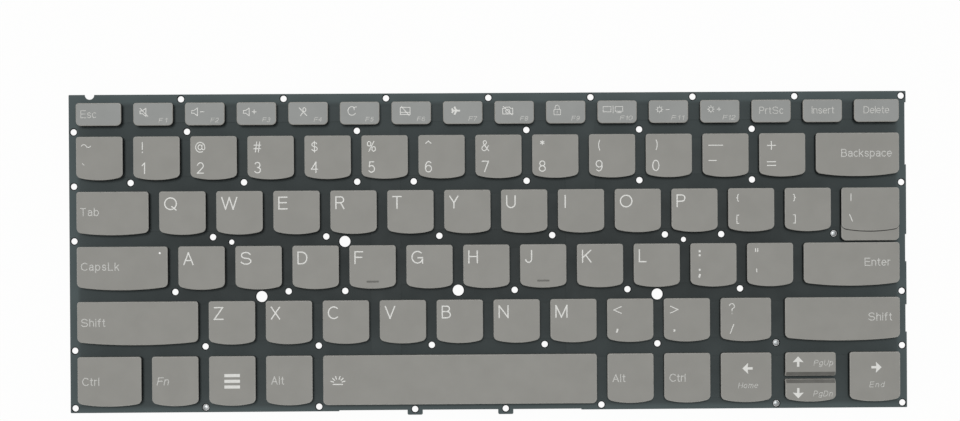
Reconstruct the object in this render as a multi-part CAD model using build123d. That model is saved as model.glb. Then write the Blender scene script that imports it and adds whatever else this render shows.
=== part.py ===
# Laptop keyboard module: a stamped steel plate carries a contact film, rubber domes,
# scissor links and low keycaps whose front edge is bowed.
# Frame: +X to the typist's right, +Y away from the typist, +Z up.
# The origin is the middle of the outline, on the plate's underside.
import os
from collections import namedtuple
from math import asin, atan, atan2, degrees, hypot

from build123d import *

# Driving dimensions, in millimetres.

# key field, from above
KEY_PITCH = 19.0         # letter keys, side to side
KEY_GAP = 3.5            # between two keys of a row
ROW_PITCH = 18.35        # rows, front to back
ROW_GAP = 3.8            # between two rows
BACKSPACE_W = 28.0
TAB_W = 24.0
CAPS_W = 30.25
SHIFT_W = 40.25
ARROW_W = 17.0
ARROW_SPLIT = 1.3        # between the up and down arrows
BOTTOM_ROW_H = 16.6
FUNCTION_H = 7.6         # half-height keys of the rear row
FUNCTION_GAP = 4.0
FUNCTION_ROW_GAP = 3.6
FUNCTION_END_W = 15.1    # the two outer keys of the rear row

# keycaps
CAP_H = 1.9              # skirt and top together
CAP_TOP = 0.8
CAP_WALL = 1.0
FRONT_WALL = 2.4         # from the middle of the bowed edge to the hollow
SMILE = 0.7              # bow of the front edge
WIDE_SMILE = 0.9         # the same on the wide keys
FRONT_R = 1.6            # front corners
REAR_R = 0.6             # rear corners
LEDGE = 3.2              # low ledge in front of the backslash key
LEDGE_DROP = 0.4
FACING_SLOPE = 1.4       # sloped band where the up and down arrows face each other
FACING_DROP = 1.0
HOMING_W = 4.0           # raised bars that the forefingers feel
HOMING_D = 0.5
HOMING_H = 0.2
HOMING_SET = 2.4         # front edge to the bar
FRONT_STEPS = 3          # flats along one front corner
REAR_STEPS = 1
SMILE_STEPS = 4

# travel and layers
TRAVEL = 1.4
PRESSED_GAP = 0.3        # skirt to film with the key down
PLATE_T = 0.4
FILM_T = 0.2
PLAY = 0.05              # running play at the ends of the moving pieces

# plate
SIDE_MARGIN = 3.3        # plate edge to key field
REAR_MARGIN = 3.1
FRONT_MARGIN = 2.45
HOLE_D = 2.1             # rivet holes
BIG_HOLE_D = 3.7         # locating holes
SMALL_HOLE_D = 1.7
HOLE_RIM = 0.55          # metal between a hole and the plate edge
HOLE_SET = 0.75          # from a row's front edge to its holes
LOW_HOLE_SET = 1.35      # from a row's rear edge to the holes behind it
HOLE_SIDES = 10          # flats of a rivet hole
TAB_SPACING = 30.5       # the two front ears
TAB_EAR_W = 5.1
TAB_EAR_END = 1.9        # ear's hole to its end
TAB_EAR_CUT = 0.4        # clipped corners
TAB_SHIFT = -10.0        # middle of the two ears from the middle of the field
REAR_NOTCH_X = 3.7       # half-round notch in the rear edge
REAR_NOTCH_R = 1.6
FRONT_RELIEF = 0.3       # edge set back in front of the space bar
FRONT_RELIEF_INSET = 5.0
SIDE_RELIEF = 0.4        # shallow notches in the right edge
SIDE_RELIEF_L = 9.2
REAR_RELIEF_L = 21.0     # the longer one beside the function row

# contact film
FILM_CLEAR = 0.2         # film edge to the largest holes
SPINE_W = 10.0           # film between two rows

# domes, links and levelling bars
DOME_R = 2.8             # foot, to the corners
DOME_TOP_R = 1.4
LINK_T = 0.6
LINK_ARM = 1.0
LINK_CLEAR = 0.2         # outer link to inner link
LINK_SIDE = 1.1          # hollow's side to the outer link
SPACE_LINKS = 52.0       # the two link pairs of the space bar
BAR_D = 0.8
BAR_SIDES = 8
BAR_ARM = 5.0
BAR_FOOT = 1.5
BAR_INSET = 2.2          # end of the cap to the bar's arm
BAR_CLEAR = 0.15
LEVELLED_W = 25.0        # wider keys have a levelling bar

# Derived sizes.
KEY_W = KEY_PITCH - KEY_GAP
KEY_H = ROW_PITCH - ROW_GAP
FIELD_W = 13 * KEY_PITCH + BACKSPACE_W
NUMBER_TOP = FUNCTION_H + FUNCTION_ROW_GAP
BOTTOM_TOP = NUMBER_TOP + 4 * ROW_PITCH
FIELD_D = BOTTOM_TOP + BOTTOM_ROW_H
FUNCTION_W = (FIELD_W - 2 * FUNCTION_END_W - 15 * FUNCTION_GAP) / 14
Z_LEFT = SHIFT_W + KEY_GAP
SLASH_LEFT = Z_LEFT + 9 * KEY_PITCH
ARROW_GAP = (FIELD_W - SLASH_LEFT - 3 * ARROW_W) / 2

FILM_TOP = PLATE_T + FILM_T
SKIRT_Z = FILM_TOP + TRAVEL + PRESSED_GAP
KEY_TOP = SKIRT_Z + CAP_H
CEILING = KEY_TOP - CAP_TOP

EDGE_SET = HOLE_D / 2 + HOLE_RIM
EAR_REACH = TAB_EAR_END - HOLE_RIM
FIELD_MID_Y = (FIELD_D + FRONT_MARGIN + EAR_REACH - REAR_MARGIN) / 2
PLATE_LEFT = -SIDE_MARGIN
PLATE_RIGHT = FIELD_W + SIDE_MARGIN
PLATE_REAR = -REAR_MARGIN
PLATE_FRONT = FIELD_D + FRONT_MARGIN
EAR_HOLE_Y = PLATE_FRONT - HOLE_RIM

# A key: its name, left, rear, width and depth in the field, and the form of its front edge.
# The field is measured from its rear left corner, rightwards and towards the typist.
Key = namedtuple("Key", "name left rear w h front")


def at(x, y, z=0.0):
    """Place in the part's frame of a point of the key field."""
    return Location((x - FIELD_W / 2, FIELD_MID_Y - y, z))


# Key layout.

def letter_row(rear, first, first_w, letters):
    """A wide first key and letter keys at their pitch."""
    row = [Key(first, 0, rear, first_w, KEY_H, "smile")]
    start = first_w + KEY_GAP
    for i, name in enumerate(letters.split()):
        row.append(Key(name, start + i * KEY_PITCH, rear, KEY_W, KEY_H, "smile"))
    return row


def closing_key(row, name, gap, front="smile"):
    """The last key of a row, which fills it to the field's right edge."""
    left = row[-1].left + row[-1].w + gap
    return Key(name, left, row[-1].rear, FIELD_W - left, KEY_H, front)


function_row = [Key("escape", 0, 0, FUNCTION_END_W, FUNCTION_H, "straight")]
for name in "f1 f2 f3 f4 f5 f6 f7 f8 f9 f10 f11 f12 print insert".split():
    left = function_row[-1].left + function_row[-1].w + FUNCTION_GAP
    function_row.append(Key(name, left, 0, FUNCTION_W, FUNCTION_H, "straight"))
function_row.append(Key("delete", FIELD_W - FUNCTION_END_W, 0, FUNCTION_END_W, FUNCTION_H, "straight"))

number_row = letter_row(NUMBER_TOP, "grave", KEY_W, "1 2 3 4 5 6 7 8 9 0 minus equals")
number_row.append(closing_key(number_row, "backspace", KEY_GAP))

tab_row = letter_row(NUMBER_TOP + ROW_PITCH, "tab", TAB_W, "q w e r t y u i o p left_bracket right_bracket")
tab_row.append(closing_key(tab_row, "backslash", KEY_GAP, "ledge"))

caps_row = letter_row(NUMBER_TOP + 2 * ROW_PITCH, "caps_lock", CAPS_W, "a s d f g h j k l semicolon quote")
caps_row.append(closing_key(caps_row, "enter", KEY_GAP))

shift_row = letter_row(NUMBER_TOP + 3 * ROW_PITCH, "left_shift", SHIFT_W, "z x c v b n m comma period")
shift_row.append(Key("slash", SLASH_LEFT, shift_row[0].rear, ARROW_W, KEY_H, "smile"))
shift_row.append(closing_key(shift_row, "right_shift", ARROW_GAP))

ARROW_H = (BOTTOM_ROW_H - ARROW_SPLIT) / 2
SPACE_LEFT = Z_LEFT + 2 * KEY_PITCH
SPACE_W = 5 * KEY_PITCH - KEY_GAP
UP_LEFT = SLASH_LEFT + ARROW_W + ARROW_GAP
DOWN_TOP = BOTTOM_TOP + ARROW_H + ARROW_SPLIT
space_key = Key("space", SPACE_LEFT, BOTTOM_TOP, SPACE_W, BOTTOM_ROW_H, "straight")
bottom_row = [
    Key("left_control", 0, BOTTOM_TOP, SHIFT_W - KEY_PITCH, BOTTOM_ROW_H, "smile"),
    Key("function", Z_LEFT - KEY_PITCH, BOTTOM_TOP, KEY_W, BOTTOM_ROW_H, "smile"),
    Key("system", Z_LEFT, BOTTOM_TOP, KEY_W, BOTTOM_ROW_H, "smile"),
    Key("left_alt", Z_LEFT + KEY_PITCH, BOTTOM_TOP, KEY_W, BOTTOM_ROW_H, "smile"),
    space_key,
    Key("right_alt", Z_LEFT + 7 * KEY_PITCH, BOTTOM_TOP, KEY_W, BOTTOM_ROW_H, "smile"),
    Key("right_control", Z_LEFT + 8 * KEY_PITCH, BOTTOM_TOP, KEY_W, BOTTOM_ROW_H, "smile"),
    Key("arrow_left", SLASH_LEFT, BOTTOM_TOP, ARROW_W, BOTTOM_ROW_H, "smile"),
    Key("arrow_up", UP_LEFT, BOTTOM_TOP, ARROW_W, ARROW_H, "slope_front"),
    Key("arrow_down", UP_LEFT, DOWN_TOP, ARROW_W, ARROW_H, "slope_rear"),
    Key("arrow_right", FIELD_W - ARROW_W, BOTTOM_TOP, ARROW_W, BOTTOM_ROW_H, "smile"),
]

HOMING_KEYS = ("f", "j")
moving_keys = number_row + tab_row + caps_row + shift_row + [space_key]
fixed_keys = function_row + [key for key in bottom_row if key is not space_key]


# Keycaps.

def stepped_arc(x, y, radius, start, end, steps):
    """Corner points along an arc, which keep a repeated cap to a few flats."""
    corner = Vector(x, y)
    turn = (end - start) / steps
    return [corner + Vector(radius, 0).rotate(Axis.Z, start + turn * i) for i in range(steps + 1)]


def bow_of(key):
    """Bow of a key's front edge, which is deeper on the wide keys."""
    if key.front not in ("smile", "ledge", "slope_rear"):
        return 0.0
    return WIDE_SMILE if key.w > LEVELLED_W else SMILE


def cap_outline(w, h, bow, front_r):
    """Cap from above, centred: small rear corners, larger front ones and a bowed front edge."""
    side = w / 2
    rear = h / 2
    points = stepped_arc(side - REAR_R, rear - REAR_R, REAR_R, 0, 90, REAR_STEPS)
    points += stepped_arc(REAR_R - side, rear - REAR_R, REAR_R, 90, 180, REAR_STEPS)
    corner_y = bow + front_r - rear
    edge = side - front_r
    lean = degrees(atan2(2 * bow, edge))
    points += stepped_arc(-edge, corner_y, front_r, 180, 270 - lean, FRONT_STEPS)
    if bow:
        flat_y = corner_y - front_r
        for i in range(1, SMILE_STEPS):
            x = edge * (2 * i / SMILE_STEPS - 1)
            points.append(Vector(x, flat_y - bow * (1 - (x / edge) ** 2)))
    points += stepped_arc(edge, corner_y, front_r, 270 + lean, 360, FRONT_STEPS)
    return make_face(Polyline(*points, close=True))


def hollow_of(key):
    """Width, depth and middle of the space under a cap."""
    front = FRONT_WALL if key.front in ("smile", "ledge") else CAP_WALL
    depth = key.h - CAP_WALL - front
    return key.w - 2 * CAP_WALL, depth, (front - CAP_WALL) / 2


def cap(key):
    """Keycap about its own middle: a shallow tray, open underneath."""
    front_r = REAR_R if key.front == "slope_front" else FRONT_R
    body = extrude(Pos(Z=SKIRT_Z) * cap_outline(key.w, key.h, bow_of(key), front_r), CAP_H)
    if key.front == "ledge":
        step = cap_outline(key.w, key.h + LEDGE, 0.0, FRONT_R)
        body += extrude(Pos(0, -LEDGE / 2, SKIRT_Z) * step, CAP_H - LEDGE_DROP)
    w, depth, middle = hollow_of(key)
    hollow_h = CEILING - SKIRT_Z
    body -= Pos(0, middle, SKIRT_Z) * Box(w, depth, hollow_h, align=(Align.CENTER, Align.CENTER, Align.MIN))
    if key.front in ("slope_front", "slope_rear"):
        facing = body.faces().sort_by(Axis.Z)[-1].edges().sort_by(Axis.Y)
        edge = facing[0] if key.front == "slope_front" else facing[-1]
        body = chamfer(edge, FACING_DROP, FACING_SLOPE)
    if key.name in HOMING_KEYS:
        bar = Box(HOMING_W, HOMING_D, HOMING_H, align=(Align.CENTER, Align.CENTER, Align.MIN))
        body += Pos(0, HOMING_SET - key.h / 2, KEY_TOP) * bar
    return body


def middle_of(key):
    """Place of a cap's middle in the part's frame."""
    return at(key.left + key.w / 2, key.rear + key.h / 2)


# Domes, scissor links and levelling bars.

def dome(top):
    """Rubber dome from the film up to a height."""
    height = top - FILM_TOP
    foot = RegularPolygon(DOME_R, 6)
    lean = degrees(atan((DOME_R - DOME_TOP_R) * 3 ** 0.5 / 2 / height))
    return extrude(Pos(Z=FILM_TOP) * foot, height, taper=lean)


def link_run():
    """Depth under a letter key that the links take up."""
    return KEY_H - CAP_WALL - FRONT_WALL - 2 * (BAR_D + 2 * BAR_CLEAR)


def link(w, tilt_sign):
    """One scissor link: two arms and a cross piece at the raised end."""
    length = link_run()
    room = CEILING - FILM_TOP - 2 * PLAY
    tilt = degrees(asin(room / hypot(length, LINK_T)) - atan(LINK_T / length))
    frame = Rectangle(w, length)
    window = Pos(0, -LINK_ARM) * Rectangle(w - 2 * LINK_ARM, length)
    flat = extrude(frame - window, LINK_T / 2, both=True)
    turned = Rot(Z=90 - 90 * tilt_sign) * Rot(X=tilt) * flat
    return Pos(Z=(CEILING + FILM_TOP) / 2) * turned


def link_pair(key):
    """Outer and inner link, crossed, in the middle of a cap's hollow."""
    outer_w = KEY_W - 2 * CAP_WALL - 2 * LINK_SIDE
    inner_w = outer_w - 2 * LINK_ARM - 2 * LINK_CLEAR
    middle = hollow_of(key)[2]
    return [Pos(Y=middle) * link(outer_w, 1), Pos(Y=middle) * link(inner_w, -1)]


def levelling_bar(key):
    """Bent wire along a wide cap, with an arm and a foot at each end."""
    _, depth, middle = hollow_of(key)
    reach = key.w / 2 - BAR_INSET
    rear_y = middle + depth / 2 - BAR_CLEAR - BAR_D / 2
    foot_y = rear_y - BAR_ARM
    high = CEILING - PLAY - BAR_D / 2
    low = FILM_TOP + PLAY + BAR_D / 2
    path = Polyline(
        (BAR_FOOT - reach, foot_y, low),
        (-reach, foot_y, low),
        (-reach, rear_y, high),
        (reach, rear_y, high),
        (reach, foot_y, low),
        (reach - BAR_FOOT, foot_y, low),
    )
    start = Plane(origin=path @ 0, z_dir=path % 0)
    return sweep(start * RegularPolygon(BAR_D / 2, BAR_SIDES), path, transition=Transition.RIGHT)


# Plate and film.

def gap_after(row, i):
    """Middle of the gap to the right of a key."""
    return (row[i].left + row[i].w + row[i + 1].left) / 2


def rivet_places():
    """Rivet holes of the plate: place in the field and diameter."""
    front_y = {id(row): row[0].rear + KEY_H + HOLE_SET for row in (number_row, tab_row, caps_row, shift_row)}
    lane_y = NUMBER_TOP - FUNCTION_ROW_GAP / 2
    edge_y = PLATE_FRONT - EDGE_SET
    holes = [(gap_after(function_row, i), PLATE_REAR + EDGE_SET, HOLE_D) for i in range(1, 14, 2)]
    holes += [(gap_after(number_row, i), lane_y, HOLE_D) for i in (1, 4, 7, 9, 11)]
    holes += [(gap_after(number_row, i), front_y[id(number_row)], HOLE_D) for i in (0, 2, 4, 5, 7, 9, 11)]
    holes += [(gap_after(tab_row, i), front_y[id(tab_row)], HOLE_D) for i in (1, 3, 5, 7, 9, 10, 12)]
    holes += [(gap_after(caps_row, i), front_y[id(caps_row)], HOLE_D) for i in (0, 2, 3, 6, 8, 10)]
    holes += [(gap_after(shift_row, i), front_y[id(shift_row)], HOLE_D) for i in (0, 2, 4, 6, 8, 10)]
    holes += [(gap_after(bottom_row, i), edge_y, HOLE_D) for i in (1, 3, 4, 7)]
    holes += [(gap_after(caps_row, i), caps_row[0].rear - LOW_HOLE_SET, SMALL_HOLE_D) for i in (1, 9)]
    holes.append((gap_after(caps_row, 3), caps_row[0].rear - LOW_HOLE_SET, BIG_HOLE_D))
    holes.append((gap_after(caps_row, 5), front_y[id(caps_row)], BIG_HOLE_D))
    holes += [(gap_after(shift_row, i), shift_row[0].rear - LOW_HOLE_SET, BIG_HOLE_D) for i in (1, 8)]
    left = PLATE_LEFT + EDGE_SET
    right = PLATE_RIGHT - EDGE_SET
    holes += [(left, y, HOLE_D) for y in (lane_y, tab_row[0].rear + KEY_H + ROW_GAP / 2, edge_y)]
    holes += [(right, y, HOLE_D) for y in (PLATE_REAR + EDGE_SET, caps_row[0].rear + KEY_H + ROW_GAP / 2, edge_y)]
    return holes


def fixing_places():
    """Round holes that locate the module: four at the sides and one in each ear."""
    holes = []
    for row in (number_row, shift_row):
        y = row[0].rear + KEY_H + ROW_GAP / 2
        holes += [(PLATE_LEFT + EDGE_SET, y), (PLATE_RIGHT - EDGE_SET, y)]
    for side in (-1, 1):
        holes.append((FIELD_W / 2 + TAB_SHIFT + side * TAB_SPACING / 2, EAR_HOLE_Y))
    return holes


def plate():
    """Stamped plate with its ears, edge notches and holes."""
    w = PLATE_RIGHT - PLATE_LEFT
    depth = PLATE_FRONT - PLATE_REAR
    sheet = at(FIELD_W / 2, (PLATE_REAR + PLATE_FRONT) / 2) * Rectangle(w, depth)
    relief_w = SPACE_W - 2 * FRONT_RELIEF_INSET
    sheet -= at(SPACE_LEFT + SPACE_W / 2, PLATE_FRONT) * Rectangle(relief_w, 2 * FRONT_RELIEF)
    ear_l = 2 * TAB_EAR_END + FRONT_RELIEF
    ear = chamfer(Rectangle(TAB_EAR_W, ear_l).vertices(), TAB_EAR_CUT)
    for x, y in fixing_places()[-2:]:
        sheet += at(x, y - FRONT_RELIEF / 2) * ear
    sheet -= at(REAR_NOTCH_X, PLATE_REAR) * Circle(REAR_NOTCH_R)
    notches = [
        (NUMBER_TOP, REAR_RELIEF_L),
        (caps_row[0].rear + ROW_GAP / 2, SIDE_RELIEF_L),
        (shift_row[0].rear + KEY_H / 2, SIDE_RELIEF_L),
    ]
    for y, length in notches:
        sheet -= at(PLATE_RIGHT, y) * Rectangle(2 * SIDE_RELIEF, length)
    for x, y, hole_d in rivet_places():
        sheet -= at(x, y) * RegularPolygon(hole_d / 2, HOLE_SIDES)
    for x, y in fixing_places():
        sheet -= at(x, y) * Circle(HOLE_D / 2)
    return extrude(sheet, PLATE_T)


def film():
    """Contact film: one strip under each row, joined across the rows by two spines."""
    inset = BIG_HOLE_D / 2 - HOLE_SET + FILM_CLEAR
    strip_w = FIELD_W - 2 * inset
    sheet = Sketch()
    for row in (function_row, number_row, tab_row, caps_row, shift_row, bottom_row):
        sheet += at(FIELD_W / 2, row[0].rear + row[0].h / 2) * Rectangle(strip_w, row[0].h - 2 * inset)
    for key in (number_row[5], tab_row[8]):
        sheet += at(key.left + key.w / 2, FIELD_D / 2) * Rectangle(SPINE_W, FIELD_D - 2 * inset)
    return Pos(Z=PLATE_T) * extrude(sheet, FILM_T)


# Assembly.

os.makedirs("parts", exist_ok=True)


def write(node, solids):
    export_step(Compound(children=solids, label=node), f"parts/{node}.step")


write("base_plate", [plate()])
write("contact_film", [film()])
write("rubber_domes", [middle_of(key) * dome(CEILING - PLAY) for key in moving_keys])

links = []
for key in moving_keys:
    shifts = (-SPACE_LINKS / 2, SPACE_LINKS / 2) if key is space_key else (0,)
    for shift in shifts:
        links += [middle_of(key) * Pos(X=shift) * piece for piece in link_pair(key)]
write("scissor_links", links)

write("levelling_bars", [middle_of(key) * levelling_bar(key) for key in moving_keys if key.w > LEVELLED_W])
write("function_and_control_keys", [middle_of(key) * (cap(key) + dome(CEILING)) for key in fixed_keys])
for key in moving_keys:
    write(f"key_{key.name}", [middle_of(key) * cap(key)])
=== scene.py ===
from math import cos, hypot, pi, radians, sin

import bmesh
import bpy
from mathutils import Euler, Matrix, Vector


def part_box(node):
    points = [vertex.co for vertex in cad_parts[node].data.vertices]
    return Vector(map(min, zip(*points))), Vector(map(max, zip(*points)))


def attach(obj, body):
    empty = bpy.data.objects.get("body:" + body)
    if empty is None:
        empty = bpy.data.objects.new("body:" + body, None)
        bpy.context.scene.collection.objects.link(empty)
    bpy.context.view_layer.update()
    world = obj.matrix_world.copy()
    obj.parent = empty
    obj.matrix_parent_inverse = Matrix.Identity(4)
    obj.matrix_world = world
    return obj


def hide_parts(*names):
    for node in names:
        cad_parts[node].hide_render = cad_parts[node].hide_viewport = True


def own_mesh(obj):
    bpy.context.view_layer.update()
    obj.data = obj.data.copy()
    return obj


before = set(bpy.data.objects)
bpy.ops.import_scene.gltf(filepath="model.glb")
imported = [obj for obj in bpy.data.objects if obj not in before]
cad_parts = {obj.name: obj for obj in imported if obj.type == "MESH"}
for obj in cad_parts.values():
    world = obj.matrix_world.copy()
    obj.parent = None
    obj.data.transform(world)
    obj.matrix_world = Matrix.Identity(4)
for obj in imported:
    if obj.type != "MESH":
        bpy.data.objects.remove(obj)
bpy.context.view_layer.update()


# Base plate: 0.4 mm steel sheet, punched in one stroke with its rivet holes, ears and edge notches and
# then sprayed a matte slate grey. The links hook into it, and stakes of a laptop's top cover pass
# through its holes.

FIELD_X, FIELD_Y = -137.5, 50.95       # rear left corner of the key field in the frame, in mm
FIELD_HALF = {"X": 0.1375, "Y": 0.0508}          # half sizes from which the painted light towards the rim is measured, in m
PITCH, REAR_PITCH = 19.0, 17.2         # spacing of the keys, and of those in the rear row
PLATE_T = 0.4
HOLE_D, BIG_HOLE_D, SMALL_HOLE_D = 2.1, 3.7, 1.7
ROLL, HOLE_ROLL = 0.08, 0.3            # width of the edge that rolls over, outside and at a hole
LIP_T = 0.15                           # how far down it rolls at a hole
LEVEL = 0.99                           # upright share of a normal from which a face counts as level
RIVET_R, RIVET_H, RIVET_Z = 0.97, 0.2, 0.22      # half width, half height and middle of a rivet's end
# SLATE_LIT is painted light: the paler tone towards the plate's edges, where more light falls
SLATE, SLATE_DARK, SLATE_LIGHT, SLATE_LIT = "#393e3e", "#363b3b", "#3c4141", "#505a5b"
BLOTCH_RANGE = 0.32, 0.68              # noise values at which a blotchy colour reaches its two tones


def spot(x, y, z=0.0):
    """A point of the key field in mm, rightwards and towards the typist from its rear left corner."""
    return Vector((FIELD_X + x, FIELD_Y - y, z))


def srgb(code):
    """Linear colour of an sRGB hex code."""
    shares = [int(code[i:i + 2], 16) / 255 for i in (1, 3, 5)]
    return [c / 12.92 if c <= 0.04045 else ((c + 0.055) / 1.055) ** 2.4 for c in shares] + [1.0]


def add_node(material, kind, feeds=None, **settings):
    """Add a node with its settings; an input takes a value, or the output that feeds it."""
    made = material.node_tree.nodes.new(kind)
    for name, value in settings.items():
        setattr(made, name, value)
    for name, value in (feeds or {}).items():
        if isinstance(value, bpy.types.NodeSocket):
            material.node_tree.links.new(value, made.inputs[name])
        else:
            made.inputs[name].default_value = value
    return made


def finish_of(name, colour, roughness, specular=0.5, metallic=0.0):
    """A material with its shader's plain values; further nodes feed the shader's sockets."""
    material = bpy.data.materials.new(name)
    material.use_nodes = True
    shader = material.node_tree.nodes["Principled BSDF"]
    shader.inputs["Base Color"].default_value = srgb(colour)
    shader.inputs["Roughness"].default_value = roughness
    shader.inputs["Specular IOR Level"].default_value = specular
    shader.inputs["Metallic"].default_value = metallic
    return material, shader


def blotches(material, shader, patch, dark, light, detail=2.0):
    """Let the colour wander between two tones, in patches of a size in mm."""
    place = add_node(material, "ShaderNodeTexCoord")
    noise = add_node(material, "ShaderNodeTexNoise",
                     {"Vector": place.outputs["Object"], "Scale": 1000 / patch, "Detail": detail})
    ramp = add_node(material, "ShaderNodeValToRGB", {"Fac": noise.outputs["Fac"]})
    for stop, position, tone in zip(ramp.color_ramp.elements, BLOTCH_RANGE, (dark, light)):
        stop.position = position
        stop.color = srgb(tone)
    material.node_tree.links.new(ramp.outputs["Color"], shader.inputs["Base Color"])


def grain(material, shader, grit, depth):
    """Raise a fine even grain, of a grit and a depth in mm."""
    place = add_node(material, "ShaderNodeTexCoord")
    noise = add_node(material, "ShaderNodeTexNoise",
                     {"Vector": place.outputs["Object"], "Scale": 1000 / grit, "Detail": 1.0})
    bump = add_node(material, "ShaderNodeBump", {"Height": noise.outputs["Fac"], "Distance": depth / 1000})
    material.node_tree.links.new(bump.outputs["Normal"], shader.inputs["Normal"])


def crease(bm, angle=40):
    """Round shading, with a hard line at every edge that turns by more than an angle in degrees."""
    bmesh.ops.recalc_face_normals(bm, faces=bm.faces)
    for face in bm.faces:
        face.smooth = True
    for edge in bm.edges:
        if edge.calc_face_angle(0.0) > radians(angle):
            edge.smooth = False


def verts_in(geom):
    """The vertices among what an operator made."""
    return [v for v in geom if isinstance(v, bmesh.types.BMVert)]


def seat(name, mesh, materials, body, slot, *nodes):
    """Turn a mesh in millimetres into a finished piece on its body, for the nodes that it stands for."""
    mesh.transform(Matrix.Scale(0.001, 4))
    for material in materials:
        mesh.materials.append(material)
    piece = bpy.data.objects.new(name, mesh)
    bpy.context.scene.collection.objects.link(piece)
    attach(piece, body)
    if nodes:
        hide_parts(*nodes)
    return piece


def mesh_of(name, bm):
    """The mesh of a finished bmesh."""
    mesh = bpy.data.meshes.new(name)
    bm.to_mesh(mesh)
    bm.free()
    return mesh


# the plate's edges in the field, in mm; the front edge is set back round the ears
LEFT, RIGHT, REAR, FRONT = -3.3, 278.3, -3.1, 103.65
RELIEF_LEFT, RELIEF_RIGHT, RELIEF = 86.75, 168.25, 103.35
EAR_HALF, EAR_END = 2.55, 105.0
SIDE_NOTCH = RIGHT - 0.4

# the outline runs round from the rear left corner, with the half-round notch first
notch = [(2.1, REAR), (2.1, -1.5), (5.3, -1.5), (5.3, REAR)]
outline = [(LEFT, REAR)] + notch + [(RIGHT, REAR)]
for near, far in ((0.7, 21.7), (45.2, 54.4), (68.925, 78.125)):
    outline += [(RIGHT, near), (SIDE_NOTCH, near), (SIDE_NOTCH, far), (RIGHT, far)]
outline += [(RIGHT, FRONT), (RELIEF_RIGHT, FRONT), (RELIEF_RIGHT, RELIEF)]
ear_ends = []
for x in (142.75, 112.25):
    ear_ends += [(x + EAR_HALF, EAR_END), (x - EAR_HALF, EAR_END)]
    outline += [(x + EAR_HALF, RELIEF)] + ear_ends[-2:] + [(x - EAR_HALF, RELIEF)]
outline += [(RELIEF_LEFT, RELIEF), (RELIEF_LEFT, FRONT), (LEFT, FRONT)]
plate_ends = [(LEFT, REAR), (RIGHT, REAR), (RIGHT, FRONT), (LEFT, FRONT)]

bm = bmesh.new()
corner = {point: bm.verts.new(spot(*point, PLATE_T)) for point in outline}
bm.faces.new(corner.values())
for points, radius in ((notch[1:3], 1.59), (ear_ends, 0.5), (plate_ends, 0.3)):
    bmesh.ops.bevel(bm, geom=[corner[p] for p in points], offset=radius, segments=8, profile=0.5,
                    affect="VERTICES", material=-1)
# the outline's upper edge is rolled off, and its flat inside is filled again round the holes
rolled = bmesh.ops.inset_region(bm, faces=bm.faces[:], thickness=ROLL, use_boundary=True,
                                use_even_offset=True)["faces"]
flat = [f for f in bm.faces if f not in rolled]
edges = flat[0].edges[:]
sides = [e for f in rolled for e in f.edges if e.is_boundary]
bmesh.ops.translate(bm, vec=(0, 0, -ROLL), verts=list({v for e in sides for v in e.verts}))
bmesh.ops.delete(bm, geom=flat, context="FACES_ONLY")

# the holes between the rows, beside them and in the ears: their places in the field and their widths
holes = [(17.1 + REAR_PITCH * i, -1.5, HOLE_D) for i in range(1, 14, 2)]
holes += [(17.25 + PITCH * i, 9.4, HOLE_D) for i in (1, 4, 7, 9, 11)]
holes += [(17.25 + PITCH * i, 26.5, HOLE_D) for i in (0, 2, 4, 5, 7, 9, 11)]
holes += [(25.75 + PITCH * i, 44.85, HOLE_D) for i in (1, 3, 5, 7, 9, 10, 12)]
holes += [(32.0 + PITCH * i, 63.2, HOLE_D) for i in (0, 2, 3, 6, 8, 10)]
holes += [(42.0 + PITCH * i, 81.55, HOLE_D) for i in (0, 2, 4, 6, 8)]
holes += [(x, 102.05, HOLE_D) for x in (42.0, 80.0, 175.0, 234.0625)]
holes += [(x, 46.55, SMALL_HOLE_D) for x in (51.0, 203.0)]
holes += [(x, y, BIG_HOLE_D) for x, y in ((89.0, 46.55), (127.0, 63.2), (61.0, 64.9), (194.0, 64.9))]
holes += [(-1.7, y, HOLE_D) for y in (9.4, 27.65, 46.0, 82.7, 102.05)]
holes += [(276.7, y, HOLE_D) for y in (-1.5, 27.65, 64.35, 82.7, 102.05)]
holes += [(234.0625, 81.55, HOLE_D), (112.25, 103.1, HOLE_D), (142.75, 103.1, HOLE_D)]
rings = []
for x, y, width in holes:
    ring = bmesh.ops.create_circle(bm, segments=28, radius=width / 2 + HOLE_ROLL,
                                   matrix=Matrix.Translation(spot(x, y, PLATE_T)))["verts"]
    rings.append(list({e for v in ring for e in v.link_edges}))
    edges += rings[-1]
bmesh.ops.triangle_fill(bm, edges=edges, use_beauty=True)


def draw_down(bm, edges, z, narrow=None):
    """Extrude a ring of edges down to a height, and let it narrow about a place by a share."""
    made = bmesh.ops.extrude_edge_only(bm, edges=edges)["geom"]
    verts = verts_in(made)
    for vert in verts:
        vert.co.z = z
    if narrow:
        place, share = narrow
        bmesh.ops.scale(bm, vec=(share, share, 1), space=Matrix.Translation(-place), verts=verts)
    for face in made:
        if isinstance(face, bmesh.types.BMFace):
            face.material_index = 1 if narrow else 0
    return [e for e in made if isinstance(e, bmesh.types.BMEdge) and all(v in verts for v in e.verts)]


foot = draw_down(bm, sides, 0.0)
for ring, (x, y, width) in zip(rings, holes):
    lip = draw_down(bm, ring, PLATE_T - LIP_T, (spot(x, y), width / (width + 2 * HOLE_ROLL)))
    foot += draw_down(bm, lip, 0.0, (spot(x, y), 1.0))
bmesh.ops.triangle_fill(bm, edges=foot, use_beauty=True)
crease(bm)
for face in bm.faces:
    face.smooth = abs(face.normal.z) < LEVEL


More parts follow.
